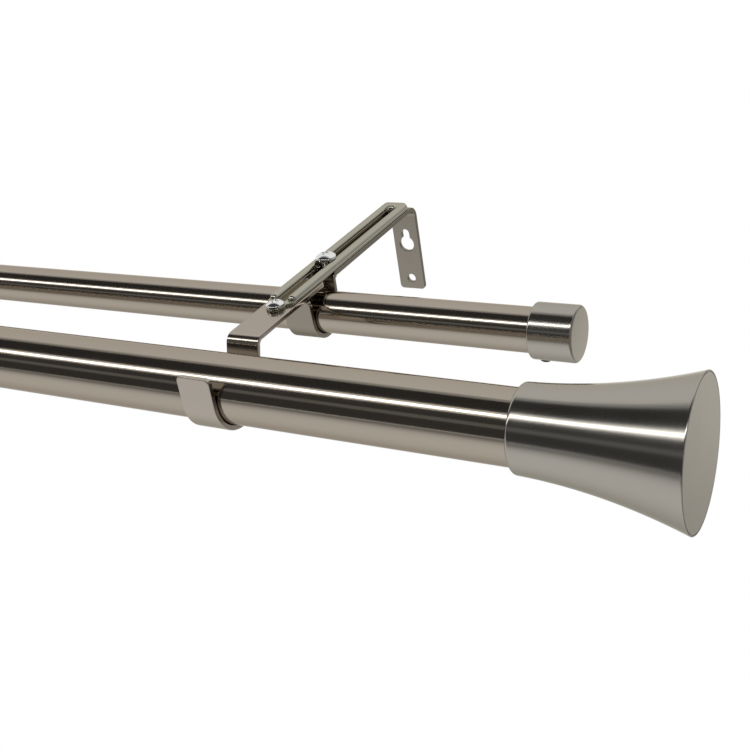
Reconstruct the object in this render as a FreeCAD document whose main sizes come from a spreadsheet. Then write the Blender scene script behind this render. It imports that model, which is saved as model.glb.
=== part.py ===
import FreeCAD
import Part
import Sketcher
import math
import os
import re

# Double curtain pole: a front pole and a thinner rear pole on two adjustable wall brackets.
# All lengths are in millimetres. X runs along the poles, Y points at the wall, Z points up.
# The origin is on the wall plane, midway between the two lower fixing holes of the brackets.

SIZES = [
    ("front_pole_radius", 14.0, "outer radius of the front pole"),
    ("front_pole_wall", 1.0, "tube wall of the front pole"),
    ("rear_pole_radius", 9.5, "outer radius of the rear pole"),
    ("rear_pole_wall", 1.0, "tube wall of the rear pole"),
    ("rim_span", 900.0, "distance between the neck rims of the two finials"),
    ("rear_end_inset", 5.95, "distance of the rear tube's ends inside the finials' neck rims"),
    ("bracket_inset", 126.7, "distance of a bracket from the neck rim of its finial"),
    ("front_reach", 170.5, "distance of the front pole axis from the wall"),
    ("rear_reach", 97.5, "distance of the rear pole axis from the wall"),
    ("rear_drop", 1.0, "height of the rear pole axis below the front one"),
    ("front_height", 28.2, "height of the front pole axis above the lower fixing holes"),
    ("strap_width", 14.2, "width of the wall bracket's strap"),
    ("hook_width", 15.6, "width of the front hook's strap"),
    ("strap_thick", 2.2, "thickness of the bent steel straps"),
    ("pole_gap", 0.3, "play between a pole and the hook that it lies in"),
    ("slide_gap", 0.3, "play between the sliding rail and the wall bracket"),
    ("rail_seat", 13.1, "height of the rail's underside above the front pole axis"),
    ("front_lip_top", 12.9, "height of the front hook's lip above the front pole axis"),
    ("front_shoulder", 19.8, "distance of the front hook's bend behind the front pole axis"),
    ("front_bend", 3.4, "middle radius of the bend between leg and tab of the front hook"),
    ("tab_past_pole", 3.0, "distance of the front hook's rear end behind the rear pole axis"),
    ("rear_lip_top", 9.5, "height of the rear hook's lip above the front pole axis"),
    ("rear_lip_flare", 0.6, "how far the rear lip's top leans outwards"),
    ("rear_shoulder", 11.2, "distance of the rear hook's bend behind the rear pole axis"),
    ("rear_bend", 2.8, "middle radius of the bend between arm and rear leg"),
    ("plate_bend", 5.0, "middle radius of the bend between arm and wall plate"),
    ("plate_end", 6.0, "length of the wall plate below the lower fixing hole"),
    ("strap_corner", 2.0, "corner radius at the ends of the straps"),
    ("tab_corner", 3.5, "corner radius at the rear end of the front hook"),
    ("fixing_hole_radius", 2.25, "radius of the lower fixing hole in the wall plate"),
    ("keyhole_radius", 4.0, "radius of the keyhole's round opening"),
    ("keyhole_height", 19.5, "height of the keyhole's round opening above the lower hole"),
    ("keyhole_neck", 4.2, "width of the keyhole's neck"),
    ("keyhole_rise", 6.0, "height of the neck's seat above the round opening"),
    ("rail_width", 13.8, "width of the slotted rail"),
    ("rail_flange", 0.3, "width of the flat edge outside each bead"),
    ("rail_thick", 1.2, "sheet thickness of the slotted rail"),
    ("rail_start", 2.0, "distance of the rail's full width behind the reach screw"),
    ("rail_end", 6.0, "distance of the rail's rear end from the wall"),
    ("rail_corner", 3.0, "corner radius at the rear end of the rail"),
    ("tongue_radius", 4.2, "radius of the rail's rounded front tongue"),
    ("slot_width", 4.4, "width of the rail's slot"),
    ("slot_start", 6.2, "distance of the slot's front round centre behind the reach screw"),
    ("slot_end", 14.8, "distance of the slot's and the trough's rear round centre from the wall"),
    ("bead_trough", 5.0, "clear width of the trough inside the rail's bead"),
    ("bead_height", 3.4, "height of the bead above the rail's underside"),
    ("bead_round", 1.5, "radius of the bead's shoulders and front corners"),
    ("bead_corner", 2.7, "corner radius at the bead's rear end"),
    ("bead_start", 4.9, "distance of the bead's front ends behind the reach screw"),
    ("reach_screw_shift", 4.25, "distance of the reach screw behind the middle between the hooks"),
    ("rail_screw_behind", 18.0, "distance of the rail screw behind the rear pole axis"),
    ("screw_radius", 2.0, "radius of the clamp screws' shanks"),
    ("screw_hole_radius", 2.2, "radius of the holes that the clamp screws pass through"),
    ("reach_head_radius", 4.0, "radius of the reach screw's head"),
    ("reach_head_height", 2.6, "height of the reach screw's head"),
    ("reach_head_side", 0.9, "height of the upright side of the reach screw's head"),
    ("rail_head_radius", 4.7, "radius of the rail screw's head"),
    ("rail_head_height", 2.9, "height of the rail screw's head"),
    ("rail_head_side", 1.0, "height of the upright side of the rail screw's head"),
    ("recess_length", 4.2, "length of the arms of the cross recess"),
    ("recess_width", 0.95, "width of the arms of the cross recess"),
    ("recess_depth", 1.3, "depth of the cross recess"),
    ("reach_screw_length", 8.0, "shank length of the reach screw"),
    ("rail_screw_length", 10.0, "shank length of the rail screw"),
    ("screw_tip_chamfer", 0.35, "chamfer at the tips of the clamp screws"),
    ("nut_corner_radius", 4.04, "radius over the corners of the hexagon nuts"),
    ("nut_height", 3.2, "height of the hexagon nuts"),
    ("nut_chamfer", 0.3, "chamfer depth at the corners of the nuts"),
    ("thread_gap", 0.05, "play between a screw and the thread that it turns in"),
    ("finial_length", 60.7, "length of the flared finial"),
    ("finial_neck_radius", 16.2, "outer radius of the finial at its neck rim"),
    ("flare_radius", 210.0, "radius of the arc that the finial flares along"),
    ("finial_rim_radius", 26.8, "outer radius of the finial at its wide rim"),
    ("finial_wall", 1.8, "wall of the finial's flared part"),
    ("finial_socket", 28.0, "depth that the front pole goes into the finial"),
    ("finial_stop", 1.8, "thickness of the stop ring behind the socket"),
    ("finial_stop_radius", 12.6, "inner radius of the stop ring"),
    ("finial_neck_round", 1.4, "rounding of the neck rim"),
    ("finial_rim_round", 0.3, "rounding of the wide rim"),
    ("socket_gap", 0.15, "play between a pole and the socket of its finial or cap"),
    ("disc_thick", 1.6, "thickness of the finial's end disc"),
    ("disc_step", 0.15, "how far the end disc's edge lies inside the wide rim"),
    ("disc_round", 0.6, "rounding of the end disc's outer edge"),
    ("plug_gap", 1.0, "play between the disc's plug and the flare's inner face at the rim"),
    ("plug_depth", 2.0, "depth of the plug that holds the disc in the flare"),
    ("cap_radius", 11.7, "outer radius of the end cap"),
    ("cap_length", 18.5, "length of the end cap"),
    ("cap_floor", 3.2, "thickness of the end cap's closed end"),
    ("cap_end_round", 1.2, "rounding of the cap's closed end"),
    ("cap_round", 0.9, "rounding of the cap's open rim"),
    ("cap_screw_at", 3.6, "distance of the cap's set screw from the cap's open rim"),
    ("cap_screw_proud", 1.4, "how far the cap's set screw stands out"),
    ("finial_screw_at", 10.0, "distance of the finial's set screw from the neck rim"),
    ("finial_screw_proud", 0.8, "how far the finial's set screw reaches past the neck's radius"),
    ("set_screw_radius", 2.5, "radius of the set screws"),
    ("set_screw_hex", 1.45, "radius over the corners of the set screws' hexagon sockets"),
    ("set_screw_hex_depth", 1.3, "depth of the set screws' hexagon sockets"),
    ("set_screw_gap", 0.1, "distance between a set screw's tip and its pole"),
]

SHEET = "Sizes"
WORDS = {alias for alias, _, _ in SIZES}
SIDES = (("left", -1), ("right", 1))

# Plain words for places that several pieces share, made from the driving sizes
PLACES = {
    "bracket_x": "(rim_span / 2 - bracket_inset)",
    "front_hook_radius": "(front_pole_radius + pole_gap + strap_thick / 2)",
    "rear_hook_radius": "(rear_pole_radius + pole_gap + strap_thick / 2)",
    "arm_top": "(rail_seat - slide_gap)",
    "front_pole_half": "(rim_span / 2 + finial_socket)",
    "rear_pole_half": "(rim_span / 2 - rear_end_inset)",
    "cap_rim_x": "(rim_span / 2 - rear_end_inset + socket_gap + cap_floor - cap_length)",
    "reach_screw_y": "((front_shoulder - front_reach - rear_reach - rear_pole_radius) / 2"
                     " + reach_screw_shift)",
    "rail_screw_y": "(rail_screw_behind - rear_reach)",
    "tab_end_y": "(tab_past_pole - rear_reach)",
}


def link(text):
    """Turns plain words into an expression that reads the sheet."""
    for word, meaning in PLACES.items():
        text = re.sub(r"\b" + word + r"\b", meaning, text)
    return re.sub(r"[a-z_]+", lambda m: SHEET + "." + m.group() if m.group() in WORDS else m.group(), text)


def number(doc, text):
    """The present value of an expression in plain words."""
    return float(doc.getObject(SHEET).evalExpression(link(text)))


def bind(obj, prop, text):
    """Ties a property of an object to the sheet."""
    obj.setExpression(prop, link(text))


def make_sheet(doc):
    """The spreadsheet that holds every driving dimension."""
    sheet = doc.addObject("Spreadsheet::Sheet", SHEET)
    for row, (alias, value, note) in enumerate(SIZES, start=1):
        sheet.set(f"A{row}", note)
        sheet.set(f"B{row}", str(value))
        sheet.setAlias(f"B{row}", alias)
    doc.recompute()
    return sheet


def place(obj, along, across, up, turned=False):
    """Puts a sub-part at its place and turns it round the upright where it faces the other way."""
    bind(obj, ".Placement.Base.x", along)
    bind(obj, ".Placement.Base.y", across)
    bind(obj, ".Placement.Base.z", up)
    if turned:
        obj.Placement.Rotation = FreeCAD.Rotation(FreeCAD.Vector(0, 0, 1), 180)


# Sketch helpers

def new_body(doc, label):
    body = doc.addObject("PartDesign::Body", label)
    body.Label = label
    return body


def new_sketch(body, name, plane, offset=None):
    """A sketch on one of the body's own origin planes, lifted along its normal by an expression."""
    sketch = body.newObject("Sketcher::SketchObject", name)
    origin_plane = [f for f in body.Origin.OriginFeatures if f.Role == plane][0]
    sketch.AttachmentSupport = [(origin_plane, "")]
    sketch.MapMode = "FlatFace"
    if offset:
        bind(sketch, ".AttachmentOffset.Base.z", offset)
    return sketch


def fix_point(sketch, geometry, position, across, up):
    """Ties one point of a sketch to two expressions, of which the second may be left free."""
    doc = sketch.Document
    for kind, text in (("DistanceX", across), ("DistanceY", up)):
        if text is None:
            continue
        index = sketch.addConstraint(Sketcher.Constraint(kind, geometry, position, number(doc, text)))
        bind(sketch, f"Constraints[{index}]", text)


def fix_radius(sketch, geometry, text):
    index = sketch.addConstraint(Sketcher.Constraint("Radius", geometry, number(sketch.Document, text)))
    bind(sketch, f"Constraints[{index}]", text)


def circle(sketch, across, up, radius):
    doc = sketch.Document
    centre = FreeCAD.Vector(number(doc, across), number(doc, up), 0)
    geometry = sketch.addGeometry(Part.Circle(centre, FreeCAD.Vector(0, 0, 1), number(doc, radius)))
    fix_radius(sketch, geometry, radius)
    fix_point(sketch, geometry, 3, across, up)
    return geometry


def outline(sketch, corners, arcs=None):
    """A closed outline through corners that are pairs of expressions, with straight edges.

    An edge named in arcs, by the number of its first corner, is an arc about the centre given there
    that turns left (1) or right (-1). A corner whose second entry is a number lies on such an arc.
    """
    doc = sketch.Document
    arcs = arcs or {}
    points = [FreeCAD.Vector(number(doc, a), b if isinstance(b, float) else number(doc, b), 0)
              for a, b in corners]
    edges = []
    for i, (start, end) in enumerate(zip(points, points[1:] + points[:1])):
        if i in arcs:
            centre, side = arcs[i]
            geometry = sketch.addGeometry(arc_between(centre, start, end, side))
            edges.append((geometry, 1, 2) if side > 0 else (geometry, 2, 1))
        else:
            edges.append((sketch.addGeometry(Part.LineSegment(start, end)), 1, 2))
    for (geometry, first, _), (across, up) in zip(edges, corners):
        fix_point(sketch, geometry, first, across, None if isinstance(up, float) else up)
    for (geometry, _, last), (after, first, _) in zip(edges, edges[1:] + edges[:1]):
        sketch.addConstraint(Sketcher.Constraint("Coincident", geometry, last, after, first))
    return [geometry for geometry, _, _ in edges]


def rectangle(sketch, left, right, low, high):
    return outline(sketch, [(left, low), (right, low), (right, high), (left, high)])


def stadium(sketch, half_width, low, high):
    """An upright slot with round ends whose centres lie on the sketch's vertical axis."""
    doc = sketch.Document
    r, a, b = (number(doc, text) for text in (half_width, low, high))
    lower = sketch.addGeometry(Part.ArcOfCircle(
        Part.Circle(FreeCAD.Vector(0, a, 0), FreeCAD.Vector(0, 0, 1), r), math.pi, 2 * math.pi))
    right = sketch.addGeometry(Part.LineSegment(FreeCAD.Vector(r, a, 0), FreeCAD.Vector(r, b, 0)))
    upper = sketch.addGeometry(Part.ArcOfCircle(
        Part.Circle(FreeCAD.Vector(0, b, 0), FreeCAD.Vector(0, 0, 1), r), 0, math.pi))
    left = sketch.addGeometry(Part.LineSegment(FreeCAD.Vector(-r, b, 0), FreeCAD.Vector(-r, a, 0)))
    chain = [lower, right, upper, left]
    for piece, after in zip(chain, chain[1:] + chain[:1]):
        sketch.addConstraint(Sketcher.Constraint("Tangent", piece, 2, after, 1))
    fix_radius(sketch, lower, half_width)
    fix_point(sketch, lower, 3, "0", low)
    fix_point(sketch, upper, 3, "0", high)


# Solid helpers

def feature(body, kind, name, sketch, length, **settings):
    """A pad or pocket whose length is tied to the sheet."""
    item = body.newObject(kind, name)
    item.Profile = sketch
    for key, value in settings.items():
        setattr(item, key, value)
    bind(item, "Length", length)
    return item


def pad(body, name, sketch, length, **settings):
    return feature(body, "PartDesign::Pad", name, sketch, length, **settings)


def pocket(body, name, sketch, length, **settings):
    """A pocket that is checked to have taken material away."""
    before = solid_volume(body)
    item = feature(body, "PartDesign::Pocket", name, sketch, length, **settings)
    body.Document.recompute()
    if solid_volume(body) > before - 1e-6:
        raise RuntimeError(f"{body.Label}: {name} takes nothing away")
    return item


def solid_volume(body):
    body.Document.recompute()
    return body.Shape.Volume


def edges_where(shape, test):
    """Names of the edges whose bounding box passes a test."""
    return [f"Edge{i}" for i, edge in enumerate(shape.Edges, start=1) if test(edge.BoundBox)]


def dress(body, kind, name, test, prop, size):
    """A fillet or chamfer on the edges of the body's tip that pass a test."""
    body.Document.recompute()
    base = body.Tip
    names = edges_where(base.Shape, test)
    if not names:
        raise RuntimeError(f"{body.Label}: no edge for {name}")
    item = body.newObject("PartDesign::" + kind, name)
    item.Base = (base, names)
    bind(item, prop, size)
    return item


def revolve(body, sketch, axis):
    """A full turn of a sketch about one of its own axes."""
    item = body.newObject("PartDesign::Revolution", "Turned")
    item.Profile = sketch
    item.ReferenceAxis = (sketch, [axis])
    item.Angle = 360.0
    return item


# Bent straps

HOOK_TURNS = {"left_hook": 1, "right_hook": -1}


def turned(vector, angle):
    c, s = math.cos(angle), math.sin(angle)
    return FreeCAD.Vector(vector.x * c - vector.y * s, vector.x * s + vector.y * c, 0)


def touch(point, centre, radius, side):
    """Where the line from a point meets a circle that lies on its left (1) or right (-1)."""
    gap = centre - point
    reach = math.sqrt(gap.Length ** 2 - radius ** 2)
    return point + turned(gap / gap.Length, -side * math.asin(radius / gap.Length)) * reach


def arc_between(centre, start, end, side):
    """The arc about a centre from start to end, turning left (1) or right (-1)."""
    first, last = (start, end) if side > 0 else (end, start)
    angles = [math.atan2(p.y - centre.y, p.x - centre.x) for p in (first, last)]
    if angles[1] < angles[0]:
        angles[1] += 2 * math.pi
    ring = Part.Circle(centre, FreeCAD.Vector(0, 0, 1), (start - centre).Length)
    return Part.ArcOfCircle(ring, angles[0], angles[1])


def bend_at(corner, before, after, radius):
    """Start, end, centre and side of the arc that rounds a corner of a path."""
    come = (corner - before).normalize()
    leave = (after - corner).normalize()
    turn = math.atan2(come.x * leave.y - come.y * leave.x, come.dot(leave))
    side = 1 if turn > 0 else -1
    run = radius * math.tan(abs(turn) / 2)
    start = corner - come * run
    end = corner + leave * run
    centre = start + turned(come, side * math.pi / 2) * radius
    return start, end, centre, side


def bent_path(body, stops):
    """The middle line of a bent strap, as straight runs joined by tangent arcs.

    A stop is (kind, across, up, radius): an end, a corner that a bend rounds, or the centre of a
    hook, whose kind says which way its round turns.
    """
    sketch = new_sketch(body, "Path", "YZ_Plane")
    doc = body.Document
    points = [FreeCAD.Vector(number(doc, across), number(doc, up), 0) for _, across, up, _ in stops]
    runs = []
    pairs = zip(stops, stops[1:], points, points[1:])
    for (kind, _, _, radius), (next_kind, _, _, next_radius), a, b in pairs:
        start = touch(b, a, number(doc, radius), -HOOK_TURNS[kind]) if kind in HOOK_TURNS else a
        end = touch(a, b, number(doc, next_radius), HOOK_TURNS[next_kind]) if next_kind in HOOK_TURNS else b
        runs.append([start, end])
    arcs = []
    for i in range(1, len(stops) - 1):
        before, after = runs[i - 1], runs[i]
        if stops[i][0] in HOOK_TURNS:
            arcs.append((points[i], before[1], after[0], HOOK_TURNS[stops[i][0]]))
        else:
            start, end, centre, side = bend_at(points[i], before[0], after[1], number(doc, stops[i][3]))
            before[1] = start
            after[0] = end
            arcs.append((centre, start, end, side))
    lines = [sketch.addGeometry(Part.LineSegment(a, b)) for a, b in runs]
    rounds = [sketch.addGeometry(arc_between(*arc)) for arc in arcs]
    for i, (ring, arc) in enumerate(zip(rounds, arcs)):
        first, last = (1, 2) if arc[3] > 0 else (2, 1)
        sketch.addConstraint(Sketcher.Constraint("Tangent", lines[i], 2, ring, first))
        sketch.addConstraint(Sketcher.Constraint("Tangent", ring, last, lines[i + 1], 1))
        kind, across, up, radius = stops[i + 1]
        fix_radius(sketch, ring, radius)
        if kind in HOOK_TURNS:
            fix_point(sketch, ring, 3, across, up)
            continue
        corner = sketch.addGeometry(Part.Point(points[i + 1]), True)
        fix_point(sketch, corner, 1, across, up)
        sketch.addConstraint(Sketcher.Constraint("PointOnObject", corner, 1, lines[i]))
        sketch.addConstraint(Sketcher.Constraint("PointOnObject", corner, 1, lines[i + 1]))
    fix_point(sketch, lines[0], 1, stops[0][1], stops[0][2])
    fix_point(sketch, lines[-1], 2, stops[-1][1], stops[-1][2])
    return sketch


def bent_strap(body, width, stops):
    """A flat strap swept along its middle line, starting at an upright end."""
    path = bent_path(body, stops)
    section = new_sketch(body, "Section", "XY_Plane", stops[0][2])
    across = stops[0][1]
    rectangle(section, f"-{width} / 2", f"{width} / 2",
              f"{across} - strap_thick / 2", f"{across} + strap_thick / 2")
    strap = body.newObject("PartDesign::AdditivePipe", "Strap")
    strap.Profile = section
    strap.Spine = path
    body.Document.recompute()
    return strap


def at_height(height, slack=0.05):
    """A test for edges that lie level at a height."""
    return lambda box: abs(box.ZMin - height) < slack and abs(box.ZMax - height) < slack


def along_strap(height, reach, slack=0.3):
    """A test for the short edges through a strap's thickness, at a height and beyond a reach."""
    return lambda box: (box.XLength < 1e-3 and abs(box.Center.z - height) < slack
                        and box.ZLength < slack and box.YLength > slack and box.Center.y < reach)


def wall_bracket(doc, side, sign):
    """One strap bent into the wall plate, the arm and the hook under the rear pole."""
    body = new_body(doc, f"wall_bracket_{side}")
    bent_strap(body, "strap_width", [
        ("end", "-strap_thick / 2", "-front_height - plate_end", None),
        ("corner", "-strap_thick / 2", "arm_top - strap_thick / 2", "plate_bend"),
        ("corner", "-rear_reach + rear_shoulder", "arm_top - strap_thick / 2", "rear_bend"),
        ("right_hook", "-rear_reach", "-rear_drop", "rear_hook_radius"),
        ("end", "-rear_reach - rear_hook_radius - rear_lip_flare", "rear_lip_top", None),
    ])
    through_plate = "4 * strap_thick"
    hole = new_sketch(body, "LowerHoleSketch", "XZ_Plane")
    circle(hole, "0", "-front_height", "fixing_hole_radius")
    pocket(body, "LowerHole", hole, through_plate, SideType="Symmetric")
    neck = new_sketch(body, "KeyholeNeckSketch", "XZ_Plane")
    stadium(neck, "keyhole_neck / 2", "-front_height + keyhole_height",
            "-front_height + keyhole_height + keyhole_rise")
    pocket(body, "KeyholeNeck", neck, through_plate, SideType="Symmetric")
    mouth = new_sketch(body, "KeyholeMouthSketch", "XZ_Plane")
    circle(mouth, "0", "-front_height + keyhole_height", "keyhole_radius")
    pocket(body, "KeyholeMouth", mouth, through_plate, SideType="Symmetric")
    passage = new_sketch(body, "RailScrewHoleSketch", "XY_Plane", "arm_top - strap_thick / 2")
    circle(passage, "0", "rail_screw_y", "screw_hole_radius")
    pocket(body, "RailScrewHole", passage, "2 * strap_thick", SideType="Symmetric")
    lip_top = along_strap(number(doc, "rear_lip_top"), -number(doc, "rear_reach"))
    dress(body, "Fillet", "LipCorners", lip_top, "Radius", "strap_corner")
    plate_low = number(doc, "-front_height - plate_end")
    dress(body, "Fillet", "PlateCorners", along_strap(plate_low, 0), "Radius", "strap_corner")
    place(body, f"{sign} * bracket_x", "0", "front_height")
    return body


def front_hook(doc, side, sign):
    """The strap that is hooked under the front pole and carries the rail's front end."""
    body = new_body(doc, f"front_hook_{side}")
    bent_strap(body, "hook_width", [
        ("end", "-front_reach - front_hook_radius", "front_lip_top", None),
        ("left_hook", "-front_reach", "0", "front_hook_radius"),
        ("corner", "-front_reach + front_shoulder", "rail_seat - strap_thick / 2", "front_bend"),
        ("end", "tab_end_y", "rail_seat - strap_thick / 2", None),
    ])
    passage = new_sketch(body, "ReachScrewHoleSketch", "XY_Plane", "rail_seat - strap_thick / 2")
    circle(passage, "0", "reach_screw_y", "screw_hole_radius")
    pocket(body, "ReachScrewHole", passage, "2 * strap_thick", SideType="Symmetric")
    lip_top = along_strap(number(doc, "front_lip_top"), -number(doc, "front_reach"))
    dress(body, "Fillet", "LipCorners", lip_top, "Radius", "strap_corner")
    rear = number(doc, "tab_end_y")
    dress(body, "Fillet", "TabCorners", upright_at(rear), "Radius", "tab_corner")
    place(body, f"{sign} * bracket_x", "0", "front_height")
    return body


def upright_at(across, slack=1e-3):
    """A test for upright edges at one distance from the wall."""
    return lambda box: box.XLength < slack and box.YLength < slack and abs(box.YMin - across) < slack


def bead_outline(sketch, grow):
    """The bead's plan: two arms along the rail that meet round the trough's rear end.

    The outline is drawn inwards by grow on all sides.
    """
    doc = sketch.Document
    near = f"(bead_trough / 2 + {grow})"
    far = f"(rail_width / 2 - rail_flange - {grow})"
    radius = f"(bead_corner - {grow})"
    front = f"reach_screw_y + bead_start + {grow}"
    rear = f"-rail_end - rail_flange - {grow}"
    side, turn = f"({far} - {radius})", f"{rear} - {radius}"
    corners = [(near, front), (far, front), (far, turn), (side, rear), (f"-{side}", rear), (f"-{far}", turn),
               (f"-{far}", front), (f"-{near}", front), (f"-{near}", "-slot_end"), (near, "-slot_end")]
    right, left, trough = (FreeCAD.Vector(number(doc, across), number(doc, along), 0)
                           for across, along in ((side, turn), (f"-{side}", turn), ("0", "-slot_end")))
    edges = outline(sketch, corners, {2: (right, 1), 4: (left, 1), 8: (trough, -1)})
    fix_radius(sketch, edges[2], radius)
    fix_radius(sketch, edges[4], radius)
    fix_point(sketch, edges[8], 3, None, "-slot_end")


def slotted_rail(doc, side, sign):
    """The pressed rail: a slotted plate with a front tongue and a hollow bead round its trough."""
    body = new_body(doc, f"slotted_rail_{side}")
    plate = new_sketch(body, "PlateSketch", "XY_Plane", "rail_seat")
    rectangle(plate, "-rail_width / 2", "rail_width / 2", "reach_screw_y + rail_start", "-rail_end")
    pad(body, "Plate", plate, "rail_thick")
    rear = number(doc, "-rail_end")
    dress(body, "Fillet", "RearCorners", upright_at(rear), "Radius", "rail_corner")
    front = number(doc, "reach_screw_y + rail_start")
    dress(body, "Chamfer", "FrontCorners", upright_at(front), "Size", "rail_width / 2 - tongue_radius")
    tongue = new_sketch(body, "TongueSketch", "XY_Plane", "rail_seat")
    stadium(tongue, "tongue_radius", "reach_screw_y", "reach_screw_y + rail_start + tongue_radius")
    pad(body, "Tongue", tongue, "rail_thick")
    bead = new_sketch(body, "BeadSketch", "XY_Plane", "rail_seat")
    bead_outline(bead, "0")
    pad(body, "Bead", bead, "bead_height")
    bead_front = upright_at(number(doc, "reach_screw_y + bead_start"))
    dress(body, "Fillet", "BeadFrontCorners", bead_front, "Radius", "bead_round")
    crest = number(doc, "rail_seat + bead_height")
    dress(body, "Fillet", "BeadShoulders", at_height(crest), "Radius", "bead_round")
    hollow = new_sketch(body, "BeadHollowSketch", "XY_Plane", "rail_seat")
    bead_outline(hollow, "rail_thick")
    pocket(body, "BeadHollow", hollow, "bead_height - rail_thick", Reversed=True)
    slot = new_sketch(body, "SlotSketch", "XY_Plane", "rail_seat")
    stadium(slot, "slot_width / 2", "reach_screw_y + slot_start", "-slot_end")
    pocket(body, "Slot", slot, "3 * rail_thick", SideType="Symmetric")
    hole = new_sketch(body, "TongueHoleSketch", "XY_Plane", "rail_seat")
    circle(hole, "0", "reach_screw_y", "screw_hole_radius")
    pocket(body, "TongueHole", hole, "3 * rail_thick", SideType="Symmetric")
    place(body, f"{sign} * bracket_x", "0", "front_height")
    return body


# Fasteners

def hexagon(sketch, radius):
    """A regular hexagon with two corners on the sketch's horizontal axis."""
    half, side = f"{radius} / 2", f"{radius} * sqrt(3) / 2"
    outline(sketch, [(radius, "0"), (half, side), (f"-{half}", side), (f"-{radius}", "0"),
                     (f"-{half}", f"-{side}"), (half, f"-{side}")])


def cross_recess(body, height):
    """The cross-shaped driver recess in the top of a pan head."""
    recess = new_sketch(body, "RecessSketch", "XY_Plane", height)
    arm, half = "recess_length / 2", "recess_width / 2"
    quarter = [(half, arm), (half, half), (arm, half)]
    right = quarter + [(a, f"-{b}") for a, b in reversed(quarter)]
    left = [(f"-{a}", b) for a, b in reversed(right)]
    outline(recess, right + left)
    pocket(body, "Recess", recess, "recess_depth")


def pan_head_screw(doc, name, end):
    """A machine screw with a domed pan head, whose head sits on its own height zero."""
    body = new_body(doc, f"{name}_screw_{end}")
    profile = new_sketch(body, "Profile", "XZ_Plane")
    length, head = f"{name}_screw_length", f"{name}_head"
    radius, side, top = (number(doc, f"{head}_{what}") for what in ("radius", "side", "height"))
    dome_centre = FreeCAD.Vector(0, (top ** 2 - side ** 2 - radius ** 2) / (2 * (top - side)), 0)
    corners = [("0", f"-{length}"), ("screw_radius", f"-{length}"), ("screw_radius", "0"),
               (f"{head}_radius", "0"), (f"{head}_radius", f"{head}_side"), ("0", f"{head}_height")]
    edges = outline(profile, corners, {4: (dome_centre, 1)})
    profile.addConstraint(Sketcher.Constraint("PointOnObject", edges[4], 3, -2))
    revolve(body, profile, "V_Axis")
    tip = -number(doc, length)
    dress(body, "Chamfer", "TipChamfer", at_height(tip), "Size", "screw_tip_chamfer")
    cross_recess(body, f"{head}_height")
    return body


def hexagon_nut(doc, label):
    """A hexagon nut with both faces chamfered at the corners, standing on its own height zero."""
    body = new_body(doc, label)
    section = new_sketch(body, "HexagonSketch", "XY_Plane")
    hexagon(section, "nut_corner_radius")
    pad(body, "Hexagon", section, "nut_height")
    flat = "nut_corner_radius * sqrt(3) / 2"
    outer = f"2 * nut_corner_radius - {flat}"
    edges = new_sketch(body, "ChamferSketch", "XZ_Plane")
    outline(edges, [(flat, "0"), (outer, "0"), (outer, "2 * nut_chamfer")])
    outline(edges, [(flat, "nut_height"), (outer, "nut_height - 2 * nut_chamfer"), (outer, "nut_height")])
    before = solid_volume(body)
    groove = body.newObject("PartDesign::Groove", "CornerChamfers")
    groove.Profile = edges
    groove.ReferenceAxis = (edges, ["V_Axis"])
    groove.Angle = 360.0
    if solid_volume(body) > before - 1e-6:
        raise RuntimeError(f"{label}: the chamfers take nothing away")
    bore = new_sketch(body, "BoreSketch", "XY_Plane")
    circle(bore, "0", "0", "screw_radius + thread_gap")
    pocket(body, "Bore", bore, "nut_height", Reversed=True)
    return body


def clamp_screws(doc, side, sign):
    """The two screws and nuts that clamp the rail to the front hook and to the wall bracket."""
    stations = (("reach", "rail_seat + rail_thick", "rail_seat"),
                ("rail", "rail_seat + bead_height + slide_gap", "arm_top"))
    pieces = []
    for name, head_seat, strap_top in stations:
        across = f"{name}_screw_y"
        screw = pan_head_screw(doc, name, side)
        place(screw, f"{sign} * bracket_x", across, f"front_height + {head_seat}")
        nut = hexagon_nut(doc, f"{name}_nut_{side}")
        place(nut, f"{sign} * bracket_x", across, f"front_height + {strap_top} - strap_thick - nut_height")
        pieces += [screw, nut]
    return pieces


def set_screw(doc, label, sign, along, across, pole_up, pole_radius, outer_radius):
    """A headless screw that presses on a pole from below, with a hexagon socket in its lower end."""
    body = new_body(doc, label)
    tip = f"{pole_radius} + set_screw_gap"
    shank = new_sketch(body, "ShankSketch", "XY_Plane", f"-({tip})")
    circle(shank, "0", "0", "set_screw_radius")
    pad(body, "Shank", shank, f"{outer_radius} - ({tip})", Reversed=True)
    socket = new_sketch(body, "SocketSketch", "XY_Plane", f"-({outer_radius})")
    hexagon(socket, "set_screw_hex")
    pocket(body, "Socket", socket, "set_screw_hex_depth", Reversed=True)
    place(body, f"{sign} * ({along})", across, pole_up)
    return body


# Poles and their ends

def pole(doc, label, radius, wall, length, across, up):
    """A drawn steel tube along X."""
    body = new_body(doc, label)
    section = new_sketch(body, "TubeSketch", "YZ_Plane")
    circle(section, "0", "0", radius)
    circle(section, "0", "0", f"{radius} - {wall}")
    pad(body, "Tube", section, length, SideType="Symmetric")
    place(body, "0", across, up)
    return body


def screw_hole(body, along, depth):
    """A threaded hole that goes down from the axis through the lower wall."""
    hole = new_sketch(body, "SetScrewHoleSketch", "XY_Plane")
    circle(hole, along, "0", "set_screw_radius + thread_gap")
    pocket(body, "SetScrewHole", hole, depth)


def flare_centre(start, end, radius):
    """The centre of the arc from start to end that turns left."""
    chord = end - start
    height = math.sqrt(radius ** 2 - (chord.Length / 2) ** 2)
    return (start + end) / 2 + turned(chord / chord.Length, math.pi / 2) * height


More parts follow.
